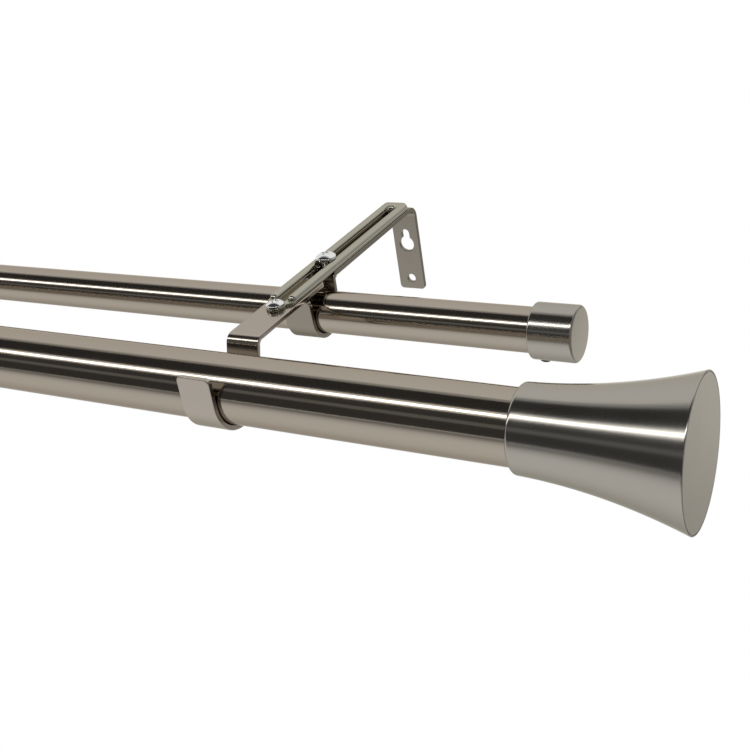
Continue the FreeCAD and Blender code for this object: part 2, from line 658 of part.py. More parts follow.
def finial(doc, side, sign):
    """The flared finial: a socket for the pole, a stop ring and a hollow flare up to the wide rim."""
    body = new_body(doc, f"finial_{side}")
    sketch = new_sketch(body, "Profile", "XZ_Plane")
    bore, mouth = "front_pole_radius + socket_gap", "finial_length - disc_thick"
    stop = "finial_socket + socket_gap"
    back = f"{stop} + finial_stop"
    neck_rim = FreeCAD.Vector(0, number(doc, "finial_neck_radius"), 0)
    wide_rim = FreeCAD.Vector(number(doc, mouth), number(doc, "finial_rim_radius"), 0)
    centre = flare_centre(neck_rim, wide_rim, number(doc, "flare_radius"))
    inner_radius = number(doc, "flare_radius + finial_wall")

    def inner(along):
        return centre.y - math.sqrt(inner_radius ** 2 - (number(doc, along) - centre.x) ** 2)

    corners = [("0", "finial_neck_radius"), (mouth, "finial_rim_radius"), (mouth, inner(mouth)),
               (back, inner(back)), (back, "finial_stop_radius"), (stop, "finial_stop_radius"),
               (stop, bore), ("0", bore)]
    edges = outline(sketch, corners, {0: (centre, 1), 2: (centre, -1)})
    fix_radius(sketch, edges[0], "flare_radius")
    fix_radius(sketch, edges[2], "flare_radius + finial_wall")
    sketch.addConstraint(Sketcher.Constraint("Coincident", edges[2], 3, edges[0], 3))
    revolve(body, sketch, "H_Axis")
    dress(body, "Fillet", "NeckRim", ring_at(0, neck_rim.y), "Radius", "finial_neck_round")
    dress(body, "Fillet", "WideRim", ring_at(wide_rim.x, wide_rim.y), "Radius", "finial_rim_round")
    screw_hole(body, "finial_screw_at", "flare_radius")
    place(body, f"{sign} * rim_span / 2", "-front_reach", "front_height", turned=sign < 0)
    return body


def ring_at(along, radius, slack=1e-3):
    """A test for round edges about X, by their place and radius."""
    return lambda box: (box.XLength < slack and abs(box.XMin - along) < slack
                        and abs(box.ZMax - radius) < slack and abs(box.ZMin + radius) < slack)


def end_disc(doc, side, sign):
    """The disc that closes the finial's wide end, with the plug that holds it in the flare."""
    body = new_body(doc, f"finial_disc_{side}")
    sketch = new_sketch(body, "DiscSketch", "YZ_Plane")
    radius = "finial_rim_radius - disc_step"
    circle(sketch, "0", "0", radius)
    pad(body, "Disc", sketch, "disc_thick")
    plug = new_sketch(body, "PlugSketch", "YZ_Plane")
    circle(plug, "0", "0", "finial_rim_radius - finial_wall - plug_gap")
    pad(body, "Plug", plug, "plug_depth", Reversed=True)
    outer = ring_at(number(doc, "disc_thick"), number(doc, radius))
    dress(body, "Fillet", "OuterEdge", outer, "Radius", "disc_round")
    along = f"{sign} * (rim_span / 2 + finial_length - disc_thick)"
    place(body, along, "-front_reach", "front_height", turned=sign < 0)
    return body


def end_cap(doc, side, sign):
    """The turned cap that closes an end of the rear pole."""
    body = new_body(doc, f"end_cap_{side}")
    sketch = new_sketch(body, "Profile", "XZ_Plane")
    bore = "rear_pole_radius + socket_gap"
    outline(sketch, [("0", bore), ("0", "cap_radius"), ("cap_length", "cap_radius"), ("cap_length", "0"),
                     ("cap_length - cap_floor", "0"), ("cap_length - cap_floor", bore)])
    revolve(body, sketch, "H_Axis")
    radius, length = number(doc, "cap_radius"), number(doc, "cap_length")
    dress(body, "Fillet", "OpenRim", ring_at(0, radius), "Radius", "cap_round")
    dress(body, "Fillet", "ClosedEnd", ring_at(length, radius), "Radius", "cap_end_round")
    screw_hole(body, "cap_screw_at", "2 * cap_radius")
    place(body, f"{sign} * cap_rim_x", "-rear_reach", "front_height - rear_drop", turned=sign < 0)
    return body


def build(doc):
    """Every sub-part of the double pole."""
    pieces = [
        pole(doc, "front_pole", "front_pole_radius", "front_pole_wall", "2 * front_pole_half",
             "-front_reach", "front_height"),
        pole(doc, "rear_pole", "rear_pole_radius", "rear_pole_wall", "2 * rear_pole_half",
             "-rear_reach", "front_height - rear_drop"),
    ]
    for side, sign in SIDES:
        pieces += [wall_bracket(doc, side, sign), front_hook(doc, side, sign), slotted_rail(doc, side, sign)]
        pieces += clamp_screws(doc, side, sign)
        pieces += [finial(doc, side, sign), end_disc(doc, side, sign), end_cap(doc, side, sign)]
        pieces.append(set_screw(
            doc, f"finial_set_screw_{side}", sign, "rim_span / 2 + finial_screw_at", "-front_reach",
            "front_height", "front_pole_radius", "finial_neck_radius + finial_screw_proud"))
        pieces.append(set_screw(
            doc, f"cap_set_screw_{side}", sign, "cap_rim_x + cap_screw_at", "-rear_reach",
            "front_height - rear_drop", "rear_pole_radius", "cap_radius + cap_screw_proud"))
    return pieces


def check(doc, pieces):
    """Stops if any feature failed or any sub-part isn't one closed, valid solid."""
    for obj in doc.Objects:
        if "Invalid" in obj.State or "Error" in obj.State:
            raise RuntimeError(f"{obj.Name} failed: {obj.State}")
    for piece in pieces:
        shape = piece.Shape
        if shape.isNull() or not shape.isValid() or len(shape.Solids) != 1:
            raise RuntimeError(f"{piece.Label}: not one valid solid")


def main():
    doc = FreeCAD.newDocument("double_curtain_pole")
    make_sheet(doc)
    pieces = build(doc)
    doc.recompute()
    check(doc, pieces)
    os.makedirs("parts", exist_ok=True)
    for piece in pieces:
        piece.Shape.exportStep(f"parts/{piece.Label}.step")
        print(f"{piece.Label}: {piece.Shape.Volume / 1000:.2f} cm3, {len(piece.Shape.Faces)} faces")


if __name__ == "__main__":
    main()
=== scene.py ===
import logging
import math
from dataclasses import dataclass
from enum import Enum
from typing import Callable, Sequence

import bmesh
import bpy
from bmesh.types import BMEdge, BMesh, BMVert
from bpy.types import ID, Material, Node, NodeSocket, NodeTree, Object
from mathutils import Matrix, Vector


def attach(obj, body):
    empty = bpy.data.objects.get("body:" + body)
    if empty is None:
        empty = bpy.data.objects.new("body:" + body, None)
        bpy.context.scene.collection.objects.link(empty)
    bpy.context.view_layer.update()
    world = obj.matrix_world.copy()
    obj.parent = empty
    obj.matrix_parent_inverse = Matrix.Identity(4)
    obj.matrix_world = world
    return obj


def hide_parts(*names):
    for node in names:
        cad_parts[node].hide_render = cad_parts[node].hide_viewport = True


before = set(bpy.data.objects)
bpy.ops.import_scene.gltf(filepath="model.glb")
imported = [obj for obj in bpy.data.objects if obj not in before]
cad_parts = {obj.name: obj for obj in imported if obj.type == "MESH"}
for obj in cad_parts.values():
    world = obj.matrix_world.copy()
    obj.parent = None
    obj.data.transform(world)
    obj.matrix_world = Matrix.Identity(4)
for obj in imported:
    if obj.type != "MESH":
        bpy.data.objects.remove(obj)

# Double curtain pole: a front pole with flared finials and a thinner rear pole with plain caps, on two
# wall brackets whose reach is set by a clamped slotted rail. Lengths are in millimetres until a mesh is
# made; X runs along the poles, Y points at the wall and Z points up.

logging.basicConfig(level=logging.INFO, format="%(message)s")
log = logging.getLogger("double_pole")

MM = 0.001
TURN_STEPS = 128
EDGE_STEPS = 3
SHARP_ANGLE = math.radians(35)
CLOSE = 1e-3
Pair = tuple[float, float]
Triple = tuple[float, float, float]
Outline = Callable[[float], list[Pair]]
Ring = Callable[[float], Pair]


class Body(str, Enum):
    """The two bodies that slide on each other."""

    WALL_SIDE = "wall_side"
    FRONT_SIDE = "front_side"


class Slot(str, Enum):
    """The record's material slots."""

    NICKEL = "satin_nickel"
    ZINC = "bright_zinc"
    BLACK = "black_oxide"


class Turn(int, Enum):
    """Which way a strap turns at a hook."""

    LEFT = 1
    RIGHT = -1


@dataclass(frozen=True)
class Side:
    """One end of the double pole."""

    name: str
    sign: int


SIDES = (Side("left", -1), Side("right", 1))


# Sizes

@dataclass(frozen=True)
class Layout:
    """Where the sub-assemblies stand, in millimetres."""

    rim_span: float = 900.0
    bracket_inset: float = 126.7
    front_reach: float = 170.5
    rear_reach: float = 97.5
    front_height: float = 28.2
    rear_drop: float = 1.0
    rail_seat: float = 13.1
    slide_gap: float = 0.3
    reach_screw_behind: float = 45.9
    rail_screw_behind: float = 91.0

    @property
    def rim_x(self) -> float:
        """Distance of a finial's neck rim from the middle."""
        return self.rim_span / 2

    @property
    def bracket_x(self) -> float:
        """Distance of a bracket from the middle."""
        return self.rim_x - self.bracket_inset

    @property
    def rear_height(self) -> float:
        """Height of the rear pole's axis."""
        return self.front_height - self.rear_drop

    @property
    def arm_top(self) -> float:
        """Height of the arm's top above the front pole's axis."""
        return self.rail_seat - self.slide_gap


@dataclass(frozen=True)
class Tube:
    """A drawn tube."""

    radius: float
    half_length: float
    wall: float = 1.0
    end_round: float = 0.25


# Mesh helpers

def arc_points(centre: Pair, radius: float, start: float, end: float, steps: int) -> list[Pair]:
    """Points on an arc from one angle in degrees to another, both included."""
    angles = [math.radians(start + (end - start) * i / steps) for i in range(steps + 1)]
    return [(centre[0] + radius * math.cos(a), centre[1] + radius * math.sin(a)) for a in angles]


def corner(before: Vector, here: Vector, after: Vector) -> tuple[Vector, Vector, float]:
    """Directions into a corner and out of it, and the angle between them, positive to the left."""
    come, leave = (here - before).normalized(), (after - here).normalized()
    return come, leave, math.atan2(come.x * leave.y - come.y * leave.x, come.dot(leave))


def rounded(corners: Sequence[Triple], steps: int, inset: float = 0.0) -> list[Pair]:
    """An outline or a profile whose corners are rounded.

    Args:
        corners: Corner points, each with its rounding, which is nought for a sharp corner.
        steps: Segments in each rounded corner.
        inset: How far a convex outline is drawn inwards.

    Returns:
        The points, as many for every inset.
    """
    out: list[Pair] = []
    for i, (x, y, radius) in enumerate(corners):
        if radius <= 0:
            out.append((x, y))
            continue
        before, here, after = (Vector(corners[k % len(corners)][:2]) for k in (i - 1, i, i + 1))
        come, leave, turn = corner(before, here, after)
        centre = here + (leave - come).normalized() * (radius / math.cos(turn / 2))
        side = 1 if turn > 0 else -1
        first = math.degrees(math.atan2(-side * come.x, side * come.y))
        out += arc_points((centre.x, centre.y), radius - inset, first, first + math.degrees(turn), steps)
    return out


def bridge(bm: BMesh, rings: Sequence[Sequence[BMVert]]) -> None:
    """Joins rings of as many vertices each by quads.

    Args:
        bm: The mesh that the rings belong to.
        rings: The closed rings in order.
    """
    for lower, upper in zip(rings, rings[1:]):
        for i in range(len(lower)):
            j = (i + 1) % len(lower)
            bm.faces.new((lower[i], lower[j], upper[j], upper[i]))


def ring_verts(bm: BMesh, points: Sequence[Pair], height: float) -> list[BMVert]:
    """New vertices at points in plan, all at one height."""
    return [bm.verts.new((x, y, height)) for x, y in points]


def border(bm: BMesh, outline: Outline, thick: float, edge: float) -> list[list[BMVert]]:
    """The border along an outline or a hole of a plate, rounded at both faces.

    Args:
        bm: The mesh.
        outline: Gives the outline for an inset.
        thick: The plate's thickness.
        edge: Radius of its edges.

    Returns:
        Its rings from the lower face to the upper one.
    """
    low = [(edge - y, edge - x) for x, y in arc_points((0, 0), edge, 0, 90, EDGE_STEPS)]
    levels = low + [(inset, thick - height) for inset, height in reversed(low)]
    rings = [ring_verts(bm, outline(inset), height) for inset, height in levels]
    bridge(bm, rings)
    return rings


def ring_edges(bm: BMesh, ring: Sequence[BMVert]) -> list[BMEdge]:
    """The edges of a closed ring, made where they are missing."""
    pairs = zip(ring, list(ring[1:]) + [ring[0]])
    return [bm.edges.get(pair) or bm.edges.new(pair) for pair in pairs]


def settle(bm: BMesh) -> None:
    """Merges doubled vertices and clears away what has no size."""
    bmesh.ops.remove_doubles(bm, verts=bm.verts, dist=1e-4)
    bmesh.ops.dissolve_degenerate(bm, edges=bm.edges, dist=1e-5)


def lathe(profile: Sequence[Pair], closed: bool, steps: int) -> BMesh:
    """A mesh turned about X.

    Args:
        profile: Pairs of place along X and radius.
        closed: True where the profile's end joins its start.
        steps: Segments of the full turn.

    Returns:
        The turned mesh in millimetres.
    """
    bm = bmesh.new()
    verts = [bm.verts.new((x, 0.0, radius)) for x, radius in profile]
    pairs = list(zip(verts, verts[1:])) + ([(verts[-1], verts[0])] if closed else [])
    edges = [bm.edges.new(pair) for pair in pairs]
    bmesh.ops.spin(bm, geom=verts + edges, cent=(0, 0, 0), axis=(1, 0, 0), dvec=(0, 0, 0),
                   angle=math.tau, steps=steps, use_merge=True, use_duplicate=False)
    settle(bm)
    return bm


@dataclass(frozen=True)
class Hole:
    """A hole in a plate, as an outline that grows with the inset of the plate's edge."""

    outline: Outline
    along: Pair


def round_hole(along: float, radius: float, steps: int = 32) -> Hole:
    """A round hole on the plate's middle line."""
    last = 360 - 360 / steps
    return Hole(lambda inset: arc_points((0, along), radius + inset, 0, last, steps - 1),
                (along - radius, along + radius))


def slot_hole(low: float, high: float, half: float, steps: int = 14) -> Hole:
    """A slot with round ends whose centres are at two places along the plate."""
    return Hole(lambda inset: (arc_points((0, high), half + inset, 0, 180, steps)
                               + arc_points((0, low), half + inset, 180, 360, steps)),
                (low - half, high + half))


def keyhole(along: float, radius: float, neck: float, rise: float, steps: int = 24) -> Hole:
    """A round opening with a narrower neck above it.

    Args:
        along: Place of the opening's centre.
        radius: The opening's radius.
        neck: Half of the neck's width.
        rise: Distance of the neck's round seat from the opening's centre.
        steps: Segments of the opening.

    Returns:
        The hole.
    """
    def outline(inset: float) -> list[Pair]:
        """The opening's and the neck's outline for an inset."""
        big, small = radius + inset, neck + inset
        open_angle = math.degrees(math.asin(small / big))
        return (arc_points((0, along), big, 90 + open_angle, 450 - open_angle, steps)
                + arc_points((0, along + rise), small, 0, 180, 10))
    return Hole(outline, (along - radius, along + rise + neck))


def fill_face(bm: BMesh, rings: Sequence[Sequence[BMVert]],
              spans: Sequence[Pair], cuts: Sequence[float]) -> None:
    """Fills one face of a plate between its outline and its holes.

    Args:
        bm: The mesh.
        rings: The outline's ring and then the holes' rings.
        spans: Where each hole lies along Y.
        cuts: Places along Y where the face is cut across; the outline has a point at each of them.
    """
    outer = ring_edges(bm, rings[0])
    across = {cut: [v for v in rings[0] if abs(v.co.y - cut) < CLOSE] for cut in cuts}
    chords = {cut: bm.edges.get(pair) or bm.edges.new(pair) for cut, pair in across.items()}
    limits = [-math.inf] + list(cuts) + [math.inf]
    for low, high in zip(limits, limits[1:]):
        edges = [e for e in outer if all(low - CLOSE <= v.co.y <= high + CLOSE for v in e.verts)]
        edges += [chords[cut] for cut in (low, high) if cut in chords]
        for ring, span in zip(rings[1:], spans):
            if low < span[0] and span[1] < high:
                edges += ring_edges(bm, ring)
        bmesh.ops.triangle_fill(bm, use_beauty=True, use_dissolve=False, edges=edges)


# Bent straps

@dataclass(frozen=True)
class Stop:
    """A stop on a strap's middle line: an end, a corner that a bend rounds, or a hook about a centre."""

    across: float
    up: float
    radius: float = 0.0
    hook: Turn | None = None


@dataclass(frozen=True)
class Run:
    """A straight or curved stretch of a strap's middle line."""

    start: Vector
    end: Vector
    length: float
    centre: Vector | None = None
    side: int = 0


def turned(vector: Vector, angle: float) -> Vector:
    """A plane vector turned counter-clockwise."""
    return Matrix.Rotation(angle, 2) @ vector


def touch(point: Vector, centre: Vector, radius: float, side: int) -> Vector:
    """Where the line from a point meets a circle on its left (1) or right (-1)."""
    gap, reach = centre - point, math.sqrt((centre - point).length ** 2 - radius ** 2)
    return point + turned(gap.normalized(), -side * math.asin(radius / gap.length)) * reach


class BentPath:
    """The middle line of a bent strap, as straight runs and the arcs between them."""

    BEND_STEP = 3.0

    def __init__(self, stops: Sequence[Stop]) -> None:
        """Works out the runs.

        Args:
            stops: The stops in order, with an end first and last.
        """
        points = [Vector((s.across, s.up)) for s in stops]
        lines = []
        for a, b, p, q in zip(stops, stops[1:], points, points[1:]):
            start = touch(q, p, a.radius, -a.hook) if a.hook else p
            end = touch(p, q, b.radius, b.hook) if b.hook else q
            lines.append([start, end])
        arcs = []
        for stop, here, before, after in zip(stops[1:], points[1:], lines, lines[1:]):
            if stop.hook:
                arcs.append((here, int(stop.hook)))
                continue
            come, leave, turn = corner(before[0], here, after[1])
            side = 1 if turn > 0 else -1
            run = stop.radius * math.tan(abs(turn) / 2)
            before[1] = here - come * run
            after[0] = here + leave * run
            arcs.append((before[1] + turned(come, side * math.pi / 2) * stop.radius, side))
        self.runs: list[Run] = []
        for i, (start, end) in enumerate(lines):
            self.runs.append(Run(start, end, (end - start).length))
            if i < len(arcs):
                centre, side = arcs[i]
                a, b = end - centre, lines[i + 1][0] - centre
                angle = side * (math.atan2(b.y, b.x) - math.atan2(a.y, a.x)) % math.tau
                self.runs.append(Run(end, lines[i + 1][0], angle * a.length, centre, side))
        self.length = sum(run.length for run in self.runs)

    def cuts(self) -> list[float]:
        """Places along the line where the strap's faces are cut across.

        Returns:
            Distances from the line's start.
        """
        out, at = [], 0.0
        for run in self.runs[:-1]:
            if run.centre is not None:
                angle = math.degrees(run.length / (run.start - run.centre).length)
                count = max(2, math.ceil(angle / self.BEND_STEP))
                out += [at + run.length * i / count for i in range(1, count)]
            at += run.length
            out.append(at)
        return out

    def place(self, along: float, height: float) -> Vector:
        """The point of the bent strap that a point of the flat one goes to.

        Args:
            along: Distance along the middle line.
            height: Height over the middle line, on its left.

        Returns:
            The point across and up.
        """
        for run in self.runs:
            if along <= run.length or run is self.runs[-1]:
                break
            along -= run.length
        if run.centre is None:
            ahead = (run.end - run.start).normalized()
            return run.start + ahead * along + turned(ahead, math.pi / 2) * height
        spoke = run.start - run.centre
        out = turned(spoke, run.side * along / spoke.length)
        return run.centre + out * (1 - run.side * height / spoke.length)


@dataclass(frozen=True)
class Strap:
    """A strap cut from flat steel."""

    width: float
    thick: float = 2.2
    edge: float = 0.35
    corner: float = 2.0


def bent_strap(strap: Strap, stops: Sequence[Stop], last_corner: float,
               holes: Callable[[BentPath], Sequence[Hole]]) -> BMesh:
    """A strap bent along its stops.

    Args:
        strap: The strap's section and the corner radius of its first end.
        stops: The stops of its middle line.
        last_corner: Corner radius of its last end.
        holes: Gives the holes for the path.

    Returns:
        The mesh in millimetres, about the bracket's own plane.
    """
    path, half = BentPath(stops), strap.width / 2
    cuts, openings = path.cuts(), holes(path)

    def outline(inset: float) -> list[Pair]:
        """The flat strap's outline for an inset, with a point at each cut."""
        ends = rounded([(-half, 0, strap.corner), (half, 0, strap.corner),
                        (half, path.length, last_corner), (-half, path.length, last_corner)], 6, inset)
        middle = len(ends) // 2
        right = [(half - inset, cut) for cut in cuts]
        left = [(-half + inset, cut) for cut in reversed(cuts)]
        return ends[:middle] + right + ends[middle:] + left

    bm = bmesh.new()
    rims = [border(bm, shape, strap.thick, strap.edge)
            for shape in [outline] + [hole.outline for hole in openings]]
    for level in (0, -1):
        fill_face(bm, [rings[level] for rings in rims], [hole.along for hole in openings], cuts)
    settle(bm)
    for vert in bm.verts:
        bent = path.place(vert.co.y, vert.co.z - strap.thick / 2)
        vert.co = Vector((vert.co.x, bent.x, bent.y))
    return bm


# Finishes

def srgb(code: str) -> tuple[float, float, float, float]:
    """The linear colour of an sRGB hex code."""
    parts = [int(code[i:i + 2], 16) / 255 for i in (1, 3, 5)]
    return (*[p / 12.92 if p <= 0.04045 else ((p + 0.055) / 1.055) ** 2.4 for p in parts], 1.0)


def add_node(tree: NodeTree, kind: str, inputs: dict | None = None, **settings) -> Node:
    """Adds a node.

    Args:
        tree: The tree it goes in.
        kind: The node's type without its first word.
        inputs: Values or output sockets for its inputs.
        settings: Properties of the node itself.

    Returns:
        The new node.
    """
    node = tree.nodes.new(f"ShaderNode{kind}")
    for name, value in settings.items():
        setattr(node, name, value)
    for name, value in (inputs or {}).items():
        if isinstance(value, NodeSocket):
            tree.links.new(value, node.inputs[name])
        else:
            node.inputs[name].default_value = value
    return node


def bare_material(name: str) -> Material:
    """A material whose node tree is empty.

    Args:
        name: Its name.

    Returns:
        The material.
    """
    material = bpy.data.materials.new(name)
    material.use_nodes = True
    material.node_tree.nodes.clear()
    return material


@dataclass(frozen=True)
class Metal:
    """A plated or blackened steel finish with a grain."""

    name: str
    colour: str
    edge: str
    roughness: float
    grain: Triple
    relief: float
    spread: float = 0.02

    def build(self) -> Material:
        """Makes the material.

        Returns:
            The material, with the grain's pattern in real millimetres.
        """
        material = bare_material(self.name)
        tree = material.node_tree
        place = add_node(tree, "TexCoord")
        lines = add_node(tree, "Mapping", {"Vector": place.outputs["Object"], "Scale": self.grain})
        noise = add_node(tree, "TexNoise", {
            "Vector": lines.outputs["Vector"], "Scale": 1.0 / MM, "Detail": 3.0, "Roughness": 0.6})
        cloud = add_node(tree, "TexNoise", {
            "Vector": place.outputs["Object"], "Scale": 0.05 / MM, "Detail": 2.0})
        mixed = add_node(tree, "Math", {0: noise.outputs["Fac"], 1: cloud.outputs["Fac"]},
                         operation="ADD")
        rough = add_node(tree, "MapRange", {
            "Value": mixed.outputs["Value"], "From Min": 0.6, "From Max": 1.4,
            "To Min": self.roughness - self.spread, "To Max": self.roughness + self.spread})
        relief = add_node(tree, "Bump", {
            "Height": noise.outputs["Fac"], "Strength": self.relief, "Distance": 0.02 * MM})
        shader = add_node(tree, "BsdfPrincipled", {
            "Base Color": srgb(self.colour), "Metallic": 1.0, "Roughness": rough.outputs["Result"],
            "Specular Tint": srgb(self.edge), "Normal": relief.outputs["Normal"]})
        add_node(tree, "OutputMaterial", {"Surface": shader.outputs["BSDF"]})
        return material


class Finishes:
    """The finishes of the pieces."""

    def __init__(self) -> None:
        """Makes each material once."""
        # Satin nickel: steel tube brushed along its length, then nickel plated
        self.pole = Metal("satin_nickel", "#A59C90", "#DAD4CC", 0.11, (0.05, 3, 3), 0.05).build()
        # Satin nickel on the turned finials and caps, whose grain runs round them
        self.turned = Metal("turned_satin_nickel", "#A29E96", "#DAD6CC", 0.16, (4, 0.2, 0.2), 0.05).build()
        # Satin nickel on the flat end discs, brushed straight across; its colour is painted lighter than
        # the finials' as a painted brighter reflection
        self.disc = Metal("disc_satin_nickel", "#B8B5B0", "#C4C0B6", 0.2, (1, 4, 0.1), 0.3, 0.03).build()
        across = (3, 0.15, 0.15)
        # Satin nickel on the front hooks, brushed along their length before they are bent
        self.strap = Metal("strap_satin_nickel", "#AAA298", "#D6D2C8", 0.14, across, 0.08).build()
        # Duller satin nickel on the wall brackets, plated over unpolished steel
        self.bracket = Metal("bracket_satin_nickel", "#8C867B", "#C2BEB4", 0.2, across, 0.1, 0.03).build()
        # Satin nickel on the pressed rails, whose brushed lines run along them
        self.rail = Metal("rail_satin_nickel", "#AAA79A", "#D6D4C8", 0.14, across, 0.08).build()
        # Bright zinc on the screws and nuts, plated without brushing
        self.zinc = Metal("bright_zinc", "#E2E2E0", "#F0F0F0", 0.1, (1, 1, 1), 0.1).build()
        # Black oxide on the set screws
        self.black = Metal("black_oxide", "#4A4743", "#8A8680", 0.3, (2, 2, 2), 0.2, 0.04).build()


# Pieces

def link_object(name: str, data: ID) -> Object:
    """A new object, linked to the scene.

    Args:
        name: Its name.
        data: Its mesh or camera.

    Returns:
        The object.
    """
    made = bpy.data.objects.new(name, data)
    bpy.context.scene.collection.objects.link(made)
    return made


@dataclass(frozen=True)
class SubAssembly:
    """What every sub-assembly shares: its layout, its finishes and how a piece goes into the scene."""

    layout: Layout
    finishes: Finishes

    def add(self, node: str, bm: BMesh, matrix: Matrix, material: Material, body: Body,
            slot: Slot = Slot.NICKEL) -> Object:
        """Puts a fine piece in the place of a node.

        Args:
            node: The node that it stands for.
            bm: Its mesh in millimetres.
            matrix: Where the mesh goes, in millimetres.
            material: Its finish.
            body: The body that it moves with.
            slot: Its material slot; not used.

        Returns:
            The new object.
        """
        bmesh.ops.transform(bm, matrix=Matrix.Scale(MM, 4) @ matrix, verts=bm.verts)
        bmesh.ops.recalc_face_normals(bm, faces=bm.faces)
        mesh = bpy.data.meshes.new(f"fine_{node}")
        bm.to_mesh(mesh)
        bm.free()
        mesh.shade_smooth()
        mesh.set_sharp_from_angle(angle=SHARP_ANGLE)
        mesh.materials.append(material)
        piece = link_object(f"fine_{node}", mesh)
        modifier = piece.modifiers.new("even_faces", "WEIGHTED_NORMAL")
        modifier.keep_sharp = True
        evened = piece.evaluated_get(bpy.context.evaluated_depsgraph_get())
        settled = bpy.data.meshes.new_from_object(evened)
        piece.modifiers.remove(modifier)
        piece.data = settled
        bpy.data.meshes.remove(mesh)
        settled.name = f"fine_{node}"
        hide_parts(node)
        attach(piece, body.value)
        log.info("%s: %d faces", piece.name, len(settled.polygons))
        return piece

    def at_bracket(self, side: Side, across: float, up: float) -> Matrix:
        """A place at a side's bracket, whose height counts from the front pole's axis."""
        lay = self.layout
        return Matrix.Translation((side.sign * lay.bracket_x, across, lay.front_height + up))

    def end_matrix(self, side: Side, along: float, across: float, up: float) -> Matrix:
        """Where a mesh goes that points outwards along X."""
        turn = Matrix.Rotation(math.pi, 4, "Z") if side.sign < 0 else Matrix.Identity(4)
        return Matrix.Translation((side.sign * along, across, up)) @ turn


class Poles(SubAssembly):
    """The two tubes."""

    FRONT = Tube(14.0, 478.0)
    REAR = Tube(9.5, 444.05)

    def build(self) -> None:
        """Makes both tubes, with slightly rounded ends."""
        lay = self.layout
        tubes = (("front_pole", self.FRONT, -lay.front_reach, lay.front_height, Body.FRONT_SIDE),
                 ("rear_pole", self.REAR, -lay.rear_reach, lay.rear_height, Body.WALL_SIDE))
        for node, tube, across, up, body in tubes:
            half, edge = tube.half_length, tube.end_round
            outer, inner = tube.radius, tube.radius - tube.wall
            corners = [(-half, inner, edge), (half, inner, edge), (half, outer, edge), (-half, outer, edge)]
            bm = lathe(rounded(corners, 3), True, TURN_STEPS)
            self.add(node, bm, Matrix.Translation((0, across, up)), self.finishes.pole, body)


class Finials(SubAssembly):
    """The flared finials and the discs that close them."""

    LENGTH = 60.7
    CONE = 59.1
    NECK = 16.2
    RIM = 26.65
    FLARE = 210.0
    WALL = 1.8
    SOCKET = 28.15
    BORE = 14.15
    STOP_RADIUS = 12.6
    STOP_THICK = 1.8
    NECK_ROUND = 1.4
    RIM_ROUND = 0.25
    SEAM_NEAR = 25.85
    SEAM_FAR = 26.15
    SEAM_DEEP = 0.4
    EDGE_TILT = 0.6
    PLUG_RADIUS = 24.0
    PLUG_DEPTH = 2.0
    LEAD = 0.3
    STEPS = 160

    def build(self) -> None:
        """Makes both ends."""
        lay = self.layout
        for side in SIDES:
            place = self.end_matrix(side, lay.rim_x, -lay.front_reach, lay.front_height)
            shell, disc = lathe(self._shell(), True, self.STEPS), lathe(self._disc(), False, self.STEPS)
            self.add(f"finial_{side.name}", shell, place, self.finishes.turned, Body.FRONT_SIDE)
            piece = self.add(f"finial_disc_{side.name}", disc, place, self.finishes.disc, Body.FRONT_SIDE)
            self._turn_edge(piece)

    def _turn_edge(self, disc: Object) -> None:
        """Gives the disc's edge the flare's finish, because both are turned together, and keeps the disc's
        painted brighter reflection on its face alone.

        Args:
            disc: The finished disc.
        """
        disc.data.materials.append(self.finishes.turned)
        for face in disc.data.polygons:
            if abs(face.normal.x) < self.EDGE_TILT:
                face.material_index = 1

    def _flare(self, grow: float, start: float, end: float, steps: int) -> list[Pair]:
        """Points of the flare's outer or inner face.

        Args:
            grow: What the radius has grown by, which is the wall on the inner face.
            start: The first place along the finial.
            end: The last place.
            steps: Number of segments.

        Returns:
            Pairs of place and radius.
        """
        chord = Vector((self.LENGTH, self.RIM - self.NECK))
        height = math.sqrt(self.FLARE ** 2 - (chord.length / 2) ** 2)
        centre = Vector((0, self.NECK)) + chord / 2 + turned(chord.normalized(), math.pi / 2) * height
        radius = self.FLARE + grow
        places = [start + (end - start) * i / steps for i in range(steps + 1)]
        return [(x, centre.y - math.sqrt(radius ** 2 - (x - centre.x) ** 2)) for x in places]

    def _shell(self) -> list[Pair]:
        """The finial's profile: socket, stop ring and flare.

        Returns:
            Pairs of place and radius.
        """
        neck = self.NECK_ROUND
        flare = self._flare(0, neck, self.CONE, 40)
        lead = arc_points((neck, flare[0][1] - neck), neck, 180, 90, 7)[:-1]
        back = self.SOCKET + self.STOP_THICK
        inner = self._flare(self.WALL, self.CONE, back, 20)
        stop = [(back, self.STOP_RADIUS), (self.SOCKET, self.STOP_RADIUS), (self.SOCKET, self.BORE),
                (self.LEAD, self.BORE), (0.0, self.BORE + self.LEAD)]
        return lead + flare + inner + stop

    def _disc(self) -> list[Pair]:
        """The end disc's profile from its middle over the seam and the rim, and back along its plug.

        Returns:
            Pairs of place and radius.
        """
        face, rim = self.LENGTH, self.RIM_ROUND
        edge = self._flare(0, self.CONE, face - rim, 4)
        rounding = arc_points((face - rim, edge[-1][1] - rim), rim, 0, 70, 4)
        return ([(face, 0.0), (face, self.SEAM_NEAR), (face - self.SEAM_DEEP, self.SEAM_NEAR),
                 (face - self.SEAM_DEEP, self.SEAM_FAR), (face, self.SEAM_FAR)] + rounding + edge[::-1]
                + [(self.CONE, self.PLUG_RADIUS), (self.CONE - self.PLUG_DEPTH, self.PLUG_RADIUS),
                   (self.CONE - self.PLUG_DEPTH, 0.0)])


